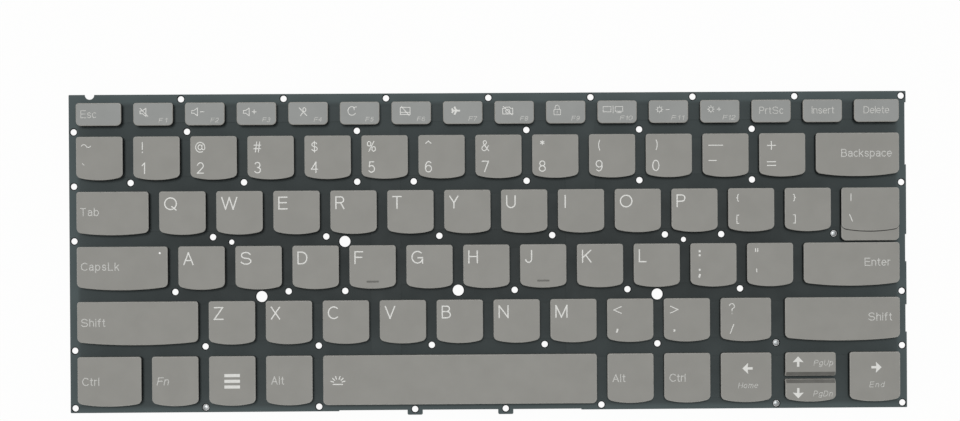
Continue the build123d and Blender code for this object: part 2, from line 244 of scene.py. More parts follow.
def painted_light_rim(material, shader, tone, start, stop, share):
    """Paint light: mix a paler tone in towards the plate's edge, from a start to a stop in mm outside the key
    field.
    """
    place = add_node(material, "ShaderNodeTexCoord")
    apart = add_node(material, "ShaderNodeSeparateXYZ", {0: place.outputs["Object"]})
    outside = []
    for axis, half in FIELD_HALF.items():
        away = add_node(material, "ShaderNodeMath", {0: apart.outputs[axis]}, operation="ABSOLUTE")
        outside.append(add_node(material, "ShaderNodeMath", {0: away.outputs[0], 1: half},
                                operation="SUBTRACT").outputs[0])
    farther = add_node(material, "ShaderNodeMath", {0: outside[0], 1: outside[1]}, operation="MAXIMUM")
    rim = add_node(material, "ShaderNodeMapRange",
                   {"Value": farther.outputs[0], "From Min": start / 1000, "From Max": stop / 1000,
                    "To Max": share})
    # of the mix node's sockets, 6 and 7 take the two colours and output 2 gives their mix
    inner = shader.inputs["Base Color"].links[0].from_socket
    tones = add_node(material, "ShaderNodeMix", {"Factor": rim.outputs[0], 6: inner, 7: srgb(tone)},
                     data_type="RGBA")
    material.node_tree.links.new(tones.outputs[2], shader.inputs["Base Color"])


# matte slate spray coat on steel: faintly cloudy with an even fine grit; painted light makes it bluer and
# lighter towards the rim
slate_coat, shader = finish_of("sprayed slate coat on steel", SLATE, 0.65, 0.12)
blotches(slate_coat, shader, 9.0, SLATE_DARK, SLATE_LIGHT, 4.0)
painted_light_rim(slate_coat, shader, SLATE_LIT, -45.0, 0.0, 0.45)
painted_light_rim(slate_coat, shader, SLATE_LIT, -0.4, 0.8, 1.0)
grain(slate_coat, shader, 0.45, 0.012)
# punched edge: the sheet rolls over into the hole, and its near black colour is painted shade for the shade
# round each hole
shaded_punched_edge, shader = finish_of("punched steel edge in painted shade", "#131617", 0.6, 0.2)
blotches(shaded_punched_edge, shader, 1.2, "#0f1213", "#191c1d")
seat("plate", mesh_of("plate", bm), [slate_coat, shaded_punched_edge], "deck", "coated_steel", "base_plate")

# four of the holes hold the low round end of a steel rivet: dull grey, brighter where it is worn
rivet_steel, shader = finish_of("dull steel rivet", "#a4a8a9", 0.4, 0.5, 0.6)
blotches(rivet_steel, shader, 0.7, "#8e9293", "#b8bcbd")
bm = bmesh.new()
for x, y in ((234.0625, 81.55), (234.0625, 102.05), (253.75, 44.85), (42.0, 102.05)):
    form = Matrix.Translation(spot(x, y, RIVET_Z)) @ Matrix.Diagonal((RIVET_R, RIVET_R, RIVET_H, 1))
    bmesh.ops.create_uvsphere(bm, u_segments=18, v_segments=9, radius=1.0, matrix=form)
crease(bm)
seat("rivets", mesh_of("rivets", bm), [rivet_steel], "deck", "spring_wire")


# Contact film: three layers of printed polyester, welded together and laid on the plate under the rows.
# The solid's own shape is right, and only its surface is dressed: as dark as the coat, with a soft sheen.

film_sheet, shader = finish_of("dark printed polyester", SLATE, 0.6, 0.12)
blotches(film_sheet, shader, 6.0, SLATE_DARK, SLATE_LIGHT)
# painted light: paler and bluer towards the plate's edges, as on the coat
painted_light_rim(film_sheet, shader, SLATE_LIT, -45.0, 0.0, 0.45)
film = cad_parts["contact_film"]
film.data.materials.clear()
film.data.materials.append(film_sheet)


# Rubber domes: one moulded silicone dome under each key, with a flat flange on the film and a thick top that
# pushes the cap up. They are milky and matte, and they buckle when their key goes down.

FILM_TOP = 0.6
CEILING = 3.4
LEDGE = 3.2                            # depth of the backslash key's low ledge
UNDER_TOUCH = 0.05                     # room between a dome and the cap above it
REAR_DEPTH = 7.6                       # of the rear row's keys
FRONT_ROW, FRONT_DEPTH = 84.6, 16.6    # rear edge and depth of the front row
ARROWS_LEFT, ARROW_W = 236.375, 17.0   # the up and down arrow keys

# a key: left, rear, width and depth in the field in mm
keys = {}
for node in sorted(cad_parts):
    if node.startswith("key_"):
        low, high = [[1000 * c for c in point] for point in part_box(node)]
        depth = high[1] - low[1] - (LEDGE if node == "key_backslash" else 0.0)
        keys[node[4:]] = (low[0] - FIELD_X, FIELD_Y - high[1], high[0] - low[0], depth)
moving = list(keys)
for i, name in enumerate("f1 f2 f3 f4 f5 f6 f7 f8 f9 f10 f11 f12 print insert".split()):
    keys[name] = (19.1 + REAR_PITCH * i, 0.0, 13.2, REAR_DEPTH)
keys["escape"] = (0.0, 0.0, 15.1, REAR_DEPTH)
keys["delete"] = (259.9, 0.0, 15.1, REAR_DEPTH)
rear_row = [name for name in keys if name not in moving]
for name, left, width in (
        ("left_control", 0.0, 21.25), ("function", 24.75, 15.5), ("system", 43.75, 15.5),
        ("left_alt", 62.75, 15.5), ("right_alt", 176.75, 15.5), ("right_control", 195.75, 15.5),
        ("arrow_left", 214.75, ARROW_W), ("arrow_right", 258.0, ARROW_W)):
    keys[name] = (left, FRONT_ROW, width, FRONT_DEPTH)
keys["arrow_up"] = (ARROWS_LEFT, FRONT_ROW, ARROW_W, 8.0)
keys["arrow_down"] = (ARROWS_LEFT, 93.55, ARROW_W, 7.65)


def middle_of(name):
    """Middle of a key in the frame, in mm."""
    left, rear, width, depth = keys[name]
    return spot(left + width / 2, rear + depth / 2)


def flatten(piece):
    """Give a piece its own copy of its mesh."""
    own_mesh(piece)


# moulded silicone: milky grey and soft, with light that gets a little way in
silicone, shader = finish_of("milky silicone rubber", "#9a9d9b", 0.6, 0.4)
blotches(silicone, shader, 1.5, "#8f9391", "#a5a8a6")
shader.inputs["Subsurface Weight"].default_value = 0.15
shader.inputs["Subsurface Radius"].default_value = (0.001, 0.001, 0.001)
for name in keys:
    top = CEILING - UNDER_TOUCH if name in moving else CEILING
    bm = bmesh.new()
    # the dome's half profile, as radius and height
    profile = [(0, FILM_TOP), (2.75, FILM_TOP), (2.75, 0.85), (2.2, 1.0), (1.75, 1.7), (1.6, 2.6),
               (1.35, 2.75), (1.35, top), (0, top)]
    run = [bm.verts.new((r, 0, z)) for r, z in profile]
    chain = run + [bm.edges.new(pair) for pair in zip(run, run[1:])]
    bmesh.ops.spin(bm, geom=chain, cent=(0, 0, 0), axis=(0, 0, 1), angle=2 * pi, steps=14, use_merge=True)
    bmesh.ops.remove_doubles(bm, verts=bm.verts, dist=0.001)
    bmesh.ops.translate(bm, vec=middle_of(name), verts=bm.verts)
    crease(bm, 50)
    node = "rubber_domes" if name in moving else "function_and_control_keys"
    dome = seat(f"dome_{name}", mesh_of("dome", bm), [silicone], "deck", "dome_rubber", node)
    if name in moving:
        flatten(dome)


# Scissor links: two moulded acetal frames cross under each cap and keep it level. Each has two arms and a
# cross piece at its raised end; pins join the two in the middle, and others snap into the cap and the plate.

LINK_T = 0.6
LINK_ARM = 1.0
LINK_L = 8.95
LINK_TILT = 13.68                      # in degrees
LINK_SHIFT = 0.7                       # towards the rear, under a cap with a bowed front edge
OUTER_W = 11.3
INNER_W = 8.9
SPACE_LINKS = 52.0                     # between the space bar's two pairs
PIN_R, PIN_L, PIN_IN = 0.28, 0.7, 0.4  # radius, length and place from the arm's end
PIVOT_R, PIVOT_L = 0.25, 1.2
PIVOT_OUT = 0.1                        # past the inner link's side


def thicken(bm, faces, height):
    """Extrude faces straight up or down by a height, and give what that made."""
    made = bmesh.ops.extrude_face_region(bm, geom=faces)["geom"]
    bmesh.ops.translate(bm, vec=(0, 0, height), verts=verts_in(made))
    return made


def pin(bm, x, y, radius, length):
    """A round pin that lies across a link."""
    place = Matrix.Translation((x, y, 0)) @ Matrix.Rotation(pi / 2, 4, "Y")
    return bmesh.ops.create_cone(bm, cap_ends=True, segments=8, radius1=radius, radius2=radius,
                                 depth=length, matrix=place)["verts"]


def link(bm, width, turn):
    """One link about the middle of its key's hollow, with a pin at the end of each arm."""
    side, end, bay = width / 2, LINK_L / 2, width / 2 - LINK_ARM
    rim = [(-side, -end), (-bay, -end), (-bay, end - LINK_ARM), (bay, end - LINK_ARM), (bay, -end),
           (side, -end), (side, end), (-side, end)]
    made = [bm.verts.new((x, y, -LINK_T / 2)) for x, y in rim]
    made += verts_in(thicken(bm, [bm.faces.new(made)], LINK_T))
    for x in (-side, side):
        made += pin(bm, x, PIN_IN - end, PIN_R, PIN_L)
    bmesh.ops.rotate(bm, verts=made, cent=(0, 0, 0), matrix=Matrix.Rotation(radians(LINK_TILT), 3, "X"))
    bmesh.ops.rotate(bm, verts=made, cent=(0, 0, 0), matrix=Matrix.Rotation(turn, 3, "Z"))
    return made


# moulded acetal: dense and dark, with a slight waxy sheen
acetal, shader = finish_of("dark moulded acetal", "#2c2f31", 0.42, 0.45)
blotches(acetal, shader, 2.0, "#282b2d", "#313437")
for name in moving:
    bm = bmesh.new()
    for shift in ((-SPACE_LINKS / 2, SPACE_LINKS / 2) if name == "space" else (0.0,)):
        made = link(bm, OUTER_W, 0.0) + link(bm, INNER_W, pi)
        for x in (-INNER_W / 2 - PIVOT_OUT, INNER_W / 2 + PIVOT_OUT):
            made += pin(bm, x, 0, PIVOT_R, PIVOT_L)
        bmesh.ops.translate(bm, vec=(shift, 0, 0), verts=made)
    middle = Vector((0, 0.0 if name == "space" else LINK_SHIFT, (CEILING + FILM_TOP) / 2))
    bmesh.ops.translate(bm, vec=middle_of(name) + middle, verts=bm.verts)
    crease(bm)
    links = seat(f"links_{name}", mesh_of("links", bm), [acetal], "deck", "link_plastic", "scissor_links")
    flatten(links)


# Levelling bars: bent spring wire along each wide cap. Its arms swing in hooks of the plate, so that a
# press at one end takes the other end down as well.

CAP_WALL = 1.0
BAR_D = 0.8
BAR_ARM = 5.0
BAR_FOOT = 1.5
BAR_INSET = 2.2                        # from the cap's end to the arm
BAR_ROOM = 0.15                        # between the bar and the cap's rear wall
BAR_HIGH, BAR_LOW = 2.95, 1.05
BEND = 0.8                             # from a bend's corner to where the wire is straight


def swept(runs, half, rounding, upright=False, smooth=True):
    """Mesh of wires along runs of points; a run says if it closes, and its share of the half width."""
    wire = bpy.data.curves.new("wire", "CURVE")
    wire.dimensions = "3D"
    wire.twist_mode = "Z_UP" if upright else "MINIMUM"
    wire.bevel_depth = half
    wire.bevel_resolution = rounding
    wire.use_fill_caps = True
    for places, closed, share in runs:
        spline = wire.splines.new("POLY")
        spline.points.add(len(places) - 1)
        spline.use_cyclic_u = closed
        spline.use_smooth = smooth
        for point, place in zip(spline.points, places):
            point.co = (*place, 1.0)
            point.radius = share
    carrier = bpy.data.objects.new("wire", wire)
    mesh = bpy.data.meshes.new_from_object(carrier)
    bpy.data.objects.remove(carrier)
    return mesh


# drawn spring steel: bright, with faint lines along the wire
spring_steel, shader = finish_of("drawn spring steel", "#b9bab8", 0.32, 0.5, 1.0)
blotches(spring_steel, shader, 0.5, "#a9aaa8", "#c4c5c3")
for name in ("backspace", "caps_lock", "enter", "left_shift", "right_shift", "space"):
    width, depth = keys[name][2:]
    reach = width / 2 - BAR_INSET
    rear_y = depth / 2 - CAP_WALL - BAR_ROOM - BAR_D / 2
    foot_y = rear_y - BAR_ARM
    bends = [Vector(p) for p in ((BAR_FOOT - reach, foot_y, BAR_LOW), (-reach, foot_y, BAR_LOW),
                                 (-reach, rear_y, BAR_HIGH), (reach, rear_y, BAR_HIGH),
                                 (reach, foot_y, BAR_LOW), (reach - BAR_FOOT, foot_y, BAR_LOW))]
    run = [bends[0]]
    for before, at, after in zip(bends, bends[1:], bends[2:]):
        enter = at + (before - at).normalized() * BEND
        leave = at + (after - at).normalized() * BEND
        # the middle of the bend lies between its corner and the straight way across
        run += [enter, at * 0.42 + (enter + leave) * 0.29, leave]
    run.append(bends[-1])
    mesh = swept([([place + middle_of(name) for place in run], False, 1.0)], BAR_D / 2, 2)
    bar = seat(f"bar_{name}", mesh, [spring_steel], "deck", "spring_wire", "levelling_bars")
    flatten(bar)


# Keycaps: shallow moulded trays, 1.9 mm high, with a matte warm grey paint on top and sides painted near
# black as shade. Most have a front edge that bows towards the typist. Clips inside the hollow hold them on
# the links.

SKIRT_Z = 2.3
KEY_TOP = 4.2
FRONT_WALL = 2.4                       # from the middle of a bowed edge to the hollow
BOW, WIDE_BOW, WIDE = 0.7, 0.9, 25.0   # depths of a bow, and the cap width from which it is deeper
FRONT_R, REAR_R = 1.6, 0.9             # corners
EDGE_R = 0.3                           # rounding of the painted edge
LEDGE_DROP = 0.4
SLOPE_RUN, SLOPE_DROP = 1.4, 1.0
FACING_R = 0.35                        # corners where the up and down arrows face each other
HOMING = 4.0, 0.5, 0.3                 # size of a homing bar
HOMING_Y, HOMING_Z = 2.4, 0.05         # its middle from the front edge, and over the paint
CREASE_R, CREASE_OUT = 0.15, 0.1       # half width of the painted shade strip at the crease, and its place before the edge
STROKE_FLAT = 0.06                     # height of a flat line or printed stroke as a share of its width
NEAR = 0.01                            # mm within which two places count as one
PAINT, EDGE, SKIRT, SLOPE = range(4)
STRAIGHT = ["escape", "delete", "print", "insert", "space", "arrow_up"] + [f"f{i}" for i in range(1, 13)]


def tray(bm, width, depth, bow, top, front_r=FRONT_R, rear_r=REAR_R, slope=0):
    """A cap about its own middle; slope is -1 or 1 where its front or rear edge falls away."""
    side, end = width / 2, depth / 2
    span = side - front_r
    # a bevelled corner rounds to 0.414 of its depth, so the edge starts from a deeper point
    lean = bow / 0.414 / span
    corner_y = bow - end + front_r * lean
    rear = [bm.verts.new((x, end, top)) for x in (-side, side)]
    front = [bm.verts.new((x, corner_y, top)) for x in (side, -side)]
    tip = [bm.verts.new((0, bow - end - span * lean, top))] if bow else []
    bm.faces.new(rear + front[:1] + tip + front[1:])
    # the front corners are wider than square, so they take a shorter bevel
    for verts, radius, segments in ((tip, span * hypot(1, lean), 14),
                                    (front, front_r * (1 - 0.75 * lean), 6), (rear, rear_r, 4)):
        if verts:
            bmesh.ops.bevel(bm, geom=verts, offset=radius, segments=segments, profile=0.5, affect="VERTICES",
                            material=-1)
    face = max(bm.faces, key=lambda f: len(f.verts))
    sunk = thicken(bm, [face], SKIRT_Z - top)

    # the hollow is open below: its ceiling, its four walls and the rim between them and the skirt
    floor = [f for f in sunk if isinstance(f, bmesh.types.BMFace)]
    rim = floor[0].edges[:]
    bmesh.ops.delete(bm, geom=floor, context="FACES_ONLY")
    front_wall = FRONT_WALL if bow and not slope else CAP_WALL
    room = Matrix.Translation((0, (front_wall - CAP_WALL) / 2, CEILING)) @ Matrix.Diagonal(
        (side - CAP_WALL, end - (front_wall + CAP_WALL) / 2, 1, 1))
    ceiling = bmesh.ops.create_grid(bm, x_segments=1, y_segments=1, size=1.0, matrix=room)["verts"]
    walls = bmesh.ops.extrude_edge_only(bm, edges=ceiling[0].link_faces[0].edges[:])["geom"]
    bmesh.ops.translate(bm, vec=(0, 0, SKIRT_Z - CEILING), verts=verts_in(walls))
    rim += [e for e in walls if isinstance(e, bmesh.types.BMEdge)
            and max(v.co.z for v in e.verts) < SKIRT_Z + NEAR]
    bmesh.ops.triangle_fill(bm, edges=rim, use_beauty=True)

    tops = [face]
    if slope:
        fold = slope * (end - SLOPE_RUN)
        bmesh.ops.bisect_plane(bm, geom=[face, *face.edges, *face.verts], plane_co=(0, fold, 0),
                               plane_no=(0, 1, 0))
        tops = [f for f in bm.faces if f.calc_center_median().z > top - NEAR]
        for vert in {v for f in tops for v in f.verts}:
            vert.co.z -= SLOPE_DROP * max(0.0, slope * (vert.co.y - fold)) / SLOPE_RUN
    bmesh.ops.recalc_face_normals(bm, faces=bm.faces)
    # painted shade: every face starts with the near black skirt colour, for the shade along the caps' sides
    for f in bm.faces:
        f.material_index = SKIRT
    # painted shade: top faces that fall away take the darker slope paint
    for f in tops:
        f.material_index = PAINT if f.normal.z > LEVEL else SLOPE
    lips = [e for f in tops for e in f.edges if sum(other in tops for other in e.link_faces) == 1]
    rolled = bmesh.ops.bevel(bm, geom=lips, offset=EDGE_R, segments=3, profile=0.5, affect="EDGES",
                             material=-1)
    # painted highlight: the rounded edge takes the lighter edge colour
    for f in rolled["faces"]:
        f.material_index = EDGE
    crease(bm)
    for f in bm.faces:
        if f.material_index in (PAINT, SLOPE):
            for e in f.edges:
                e.smooth = False


# matte warm grey paint: soft to the eye, with an even fine grit, drawn coarser than it is so that it shows
key_paint, shader = finish_of("matte warm grey key paint", "#908f8a", 0.6, 0.3)
blotches(key_paint, shader, 7.0, "#8e8d88", "#92918c", 3.0)
grain(key_paint, shader, 0.35, 0.006)
# the rear row's paint comes from a cooler batch
cool_paint, shader = finish_of("matte cool grey key paint", "#949694", 0.6, 0.3)
blotches(cool_paint, shader, 7.0, "#929492", "#969896", 3.0)
grain(cool_paint, shader, 0.35, 0.006)
# painted highlight: the rounded cap edge is painted lighter, for the line of light along it
edge_highlight_paint, shader = finish_of("painted highlight on the rounded cap edge", "#9c9b96", 0.5, 0.35)
blotches(edge_highlight_paint, shader, 3.0, "#989792", "#a1a09b")
# painted shade: the skirt below the paint is near black for the shade along the caps' sides, with a fine
# spark texture
painted_shade_abs, shader = finish_of("dark ABS skirt in painted shade", "#222323", 0.6, 0.2)
blotches(painted_shade_abs, shader, 1.0, "#1e1f1f", "#272828")
# painted shade: the steep faces and the homing bars are painted darker, for the shade that falls on them
shaded_slope_paint, shader = finish_of("paint on the steep cap faces, darkened as painted shade", "#6d6c68", 0.6, 0.3)
blotches(shaded_slope_paint, shader, 3.0, "#696864", "#71706c")
for name in keys:
    width, depth = keys[name][2:]
    bm = bmesh.new()
    bow = 0.0 if name in STRAIGHT else WIDE_BOW if width > WIDE else BOW
    if name == "arrow_up":
        tray(bm, width, depth, bow, KEY_TOP, front_r=FACING_R, slope=-1)
    elif name == "arrow_down":
        tray(bm, width, depth, bow, KEY_TOP, rear_r=FACING_R, slope=1)
    else:
        tray(bm, width, depth, bow, KEY_TOP)
    if name == "backslash":
        # low ledge in front of the bowed edge, moulded in one with the cap
        step = bmesh.new()
        tray(step, width, depth + LEDGE, 0.0, KEY_TOP - LEDGE_DROP)
        bmesh.ops.translate(step, vec=(0, -LEDGE / 2, 0), verts=step.verts)
        ledge = mesh_of("ledge", step)
        bm.from_mesh(ledge)
        bpy.data.meshes.remove(ledge)
    if name in ("f", "j"):
        # raised bar that a forefinger feels
        place = Matrix.Translation((0, HOMING_Y - depth / 2, KEY_TOP + HOMING_Z))
        bar = bmesh.ops.create_cube(bm, size=1.0, matrix=place @ Matrix.Diagonal((*HOMING, 1)))["verts"]
        ends = {e for v in bar for e in v.link_edges}
        bevelled = bmesh.ops.bevel(bm, geom=list(ends), offset=0.1, segments=2, profile=0.5,
                                   affect="EDGES", material=-1)
        # painted shade: the bar's faces take the darker slope paint, for the shade along it
        for f in {f for v in bevelled["verts"] for f in v.link_faces}:
            f.material_index = SLOPE
            f.smooth = True
    bmesh.ops.translate(bm, vec=middle_of(name), verts=bm.verts)
    finishes = [cool_paint if name in rear_row else key_paint, edge_highlight_paint, painted_shade_abs, shaded_slope_paint]
    body, node = (f"key_{name}", f"key_{name}") if name in moving else ("deck", "function_and_control_keys")
    seat(f"cap_{name}", mesh_of("cap", bm), finishes, body, "key_plastic", node)


# painted shade: a dark strip along the crease where the backslash key's ledge meets the bowed edge above it
width, depth = keys["backslash"][2:]
run = []
for i in range(41):
    x = (i / 20 - 1) * (width / 2 - CREASE_R)
    past = max(0.0, abs(x) - width / 2 + FRONT_R)
    rise = BOW * (x / (width / 2 - FRONT_R)) ** 2 + FRONT_R - (FRONT_R ** 2 - past ** 2) ** 0.5
    run.append(middle_of("backslash") + Vector((x, rise - depth / 2 - CREASE_OUT, 0)))
mesh = swept([(run, False, 1.0)], CREASE_R, 0, upright=True)
ledge_top = Matrix.Translation((0, 0, KEY_TOP - LEDGE_DROP + NEAR))
mesh.transform(ledge_top @ Matrix.Diagonal((1, 1, STROKE_FLAT, 1)))
seat("ledge_crease_shade", mesh, [painted_shade_abs], "key_backslash", "key_plastic")


# Lock light: a small round window of clear acrylic near the caps lock key's rear right corner, pressed into
# the cap and level with its paint.

WINDOW_R, WINDOW_FACE_R, WINDOW_T = 0.36, 0.32, 0.3
WINDOW_X, WINDOW_Y = 2.6, 2.2          # its middle from the right and rear edges of the cap
WINDOW_Z = 0.13                        # its middle below the paint

# clear acrylic over white: bright and smooth
light_window, shader = finish_of("white light window", "#f2f2ee", 0.3, 0.5)
blotches(light_window, shader, 0.4, "#ececea", "#f8f8f4")
bm = bmesh.new()
bmesh.ops.create_cone(bm, cap_ends=True, segments=20, radius1=WINDOW_R, radius2=WINDOW_FACE_R, depth=WINDOW_T)
left, rear, width = keys["caps_lock"][:3]
place = spot(left + width - WINDOW_X, rear + WINDOW_Y, KEY_TOP - WINDOW_Z)
bmesh.ops.translate(bm, vec=place, verts=bm.verts)
crease(bm)
seat("caps_lock_light", mesh_of("caps_lock_light", bm), [light_window], "key_caps_lock", "key_plastic")


# Key legends: thin pad-printed strokes in pale ink, upper left on the letter keys, in pairs on the number and
# sign keys, as words on the wide ones and as small signs on the rear row.

PEN, DIGIT_PEN, SHIFTED_PEN = 0.41, 0.34, 0.3    # of letters, digits and the signs above those
WORD_PEN, REAR_WORD_PEN = 0.3, 0.24
ARROW_WORD_PEN, NUMBER_PEN = 0.19, 0.17          # of the words at the arrows, and of the F-numbers
SLANT = 0.22                           # sideways lean of slanted words
LETTER_SPACE = 0.16                    # between letters, as a share of their height
ARC_STEP = 18                          # degrees between the points of an arc
STROKE_TURN = 38                       # degrees from which a turn splits a stroke
LIFT = 0.012                           # the ink's top over the paint
MENU_X, MENU_Y, MENU_ROW = 7.7, 8.4, 1.9         # the menu sign's middle, and the spacing of its bars
MENU_BAR = 2.6, 0.52                   # half sizes of a bar

SPEAKER = "0,3.2 2.8,3.2 7.4,0 7.4,10 2.8,6.8 0,6.8 0,3.2"
SUN = ("4.6,5,2.7,2.7,0,360; 8.3,5 9,5; 0.9,5 0.2,5; 4.6,8.7 4.6,9.4; 4.6,1.3 4.6,0.6; 7.2,7.6 7.7,8.1; "
       "2,7.6 1.5,8.1; 7.2,2.4 7.7,1.9; 2,2.4 1.5,1.9")

